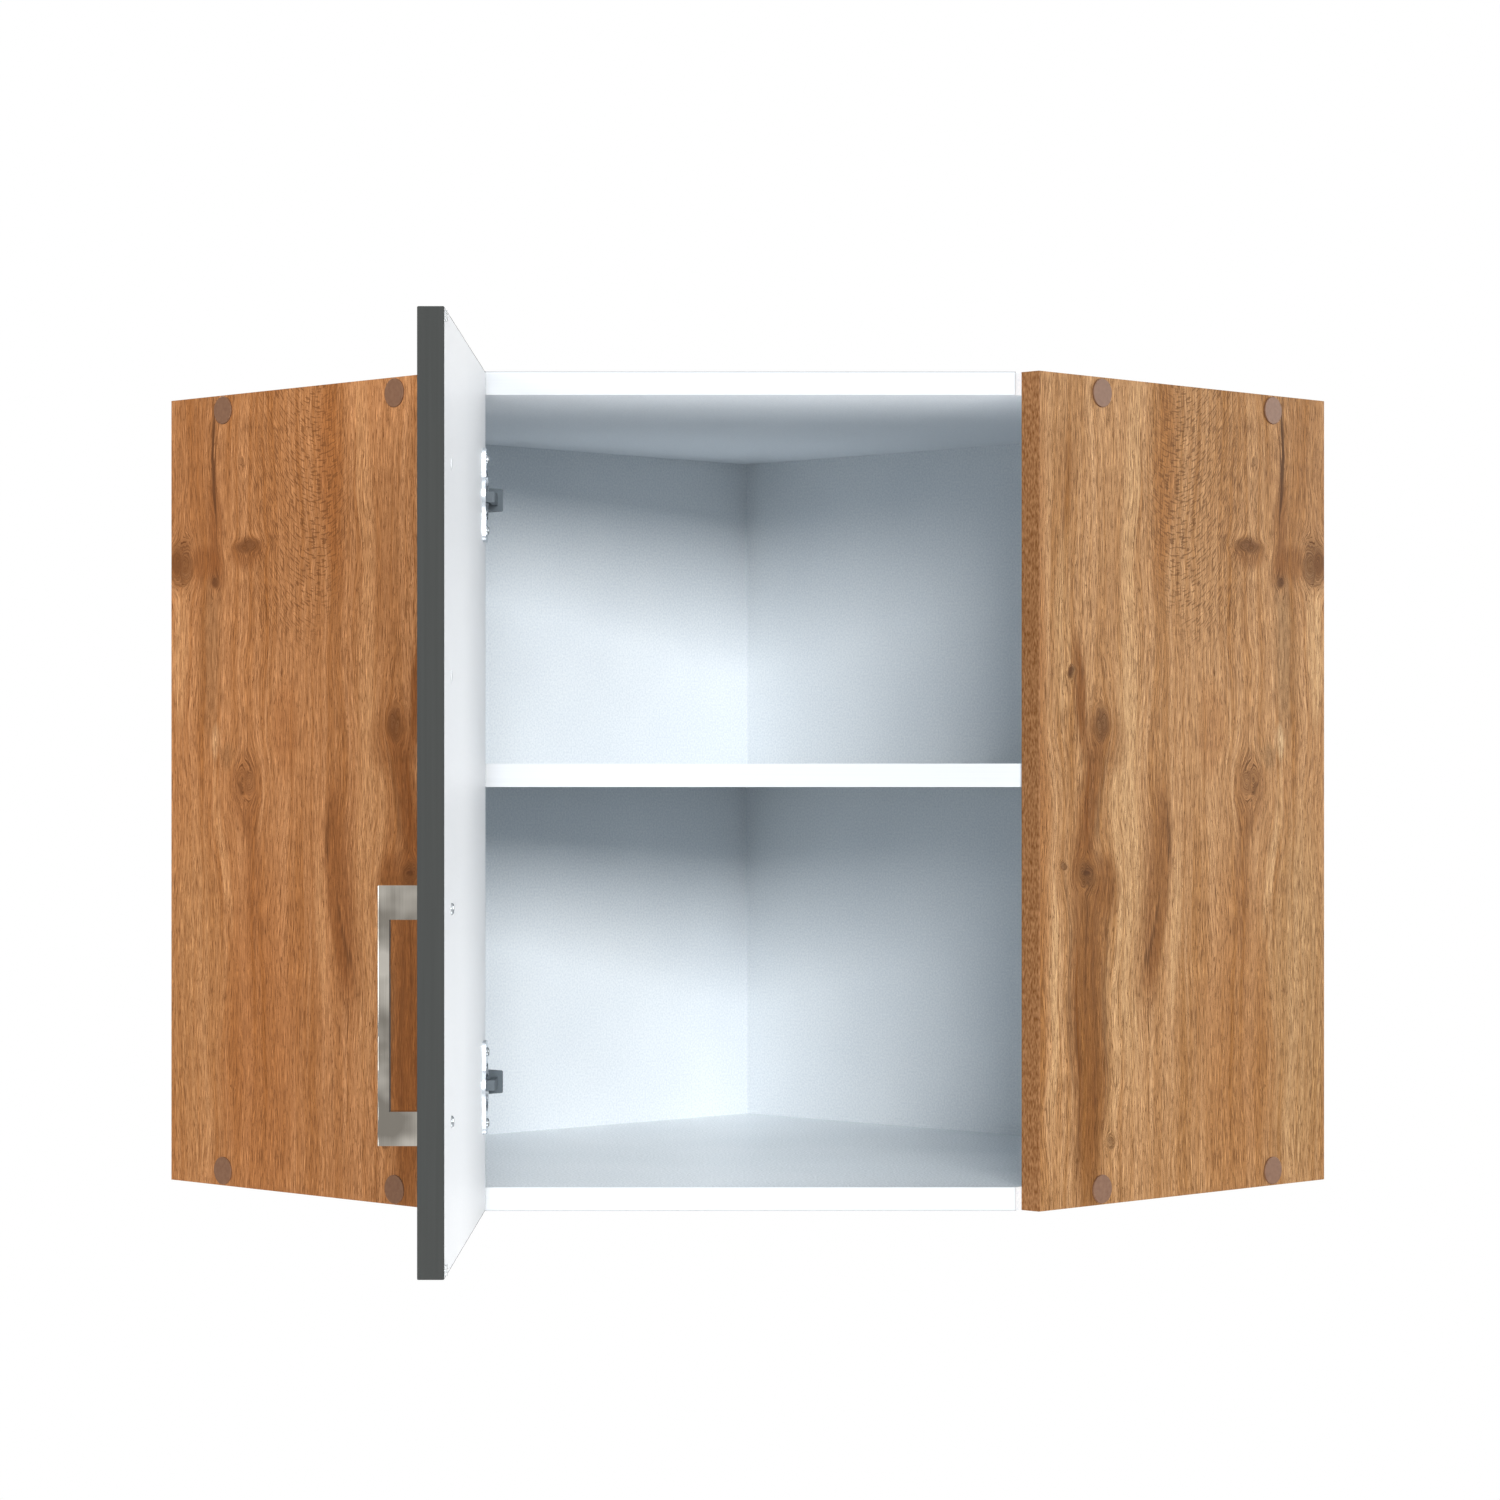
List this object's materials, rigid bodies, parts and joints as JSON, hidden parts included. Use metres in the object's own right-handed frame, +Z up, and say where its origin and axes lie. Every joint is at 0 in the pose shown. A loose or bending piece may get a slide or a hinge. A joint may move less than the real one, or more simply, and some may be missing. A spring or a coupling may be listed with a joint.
{
  "type": "corner wall cabinet",
  "caption": "Diagonal corner wall cabinet with oak-print sides, white inside with a loose shelf, and a graphite door with a bow handle, swung open on cup hinges.",
  "frame": {"origin": "the room corner at the level of the cabinet's underside, where the two wall faces meet", "axes": "+Z up, +Y into the right wall, -X into the left wall; the diagonal front faces between +X and -Y"},
  "size_m": [0.6058, 0.8705, 0.573],
  "materials": {
    "oak_print": "oak-print melamine with a fine grain",
    "white_board": "smooth white melamine",
    "graphite_front": "matt graphite melamine outside, white inside",
    "white_edge": "white edge band",
    "oak_edge": "oak-print edge band",
    "graphite_edge": "graphite edge band",
    "satin_nickel": "satin nickel",
    "zinc_steel": "bright zinc plate",
    "cap_brown": "matt brown-grey",
    "clear_pad": "soft, half clear",
    "white_plastic": "smooth white",
    "beech": "plain ribbed beech"
  },
  "bodies": {
    "carcass": {"side_panel_left": "oak_print", "side_panel_right": "oak_print", "side_edge_left": "oak_edge", "side_edge_right": "oak_edge", "back_panel_left": "white_board", "back_panel_right": "white_board", "top_panel": "white_board", "top_edge": "white_edge", "bottom_panel": "white_board", "bottom_edge": "white_edge", "shelf": "white_board", "shelf_edge": "white_edge", "shelf_pins": "zinc_steel", "carcass_screws_left": "zinc_steel", "carcass_screws_right": "zinc_steel", "screw_caps_left": "cap_brown", "screw_caps_right": "cap_brown", "dowels": "beech", "back_screws_left": "zinc_steel", "back_screws_right": "zinc_steel", "corner_screws": "zinc_steel", "hanger_plates_left": "zinc_steel", "hanger_plates_right": "zinc_steel", "hanger_screws": "zinc_steel", "hinge_plate_top": "zinc_steel", "hinge_plate_bottom": "zinc_steel", "hinge_plate_screws": "zinc_steel", "hinge_arm_top": "zinc_steel", "hinge_arm_bottom": "zinc_steel", "hinge_arm_screws": "zinc_steel"},
    "door": {"door_panel": "graphite_front", "door_edges": "graphite_edge", "handle": "satin_nickel", "handle_screws": "zinc_steel", "hole_plugs": "white_plastic", "door_bumpers": "clear_pad", "hinge_cup_top": "zinc_steel", "hinge_cup_bottom": "zinc_steel", "hinge_pins": "zinc_steel", "hinge_springs": "zinc_steel", "cup_screws": "zinc_steel"}
  },
  "joints": [
    {"name": "door_swing", "type": "hinge", "parent": "carcass", "child": "door", "pos_m": [0.331, -0.59566, 0.2865], "axis": [0, 0, 1], "range_deg": [0, 90]}
  ]
}
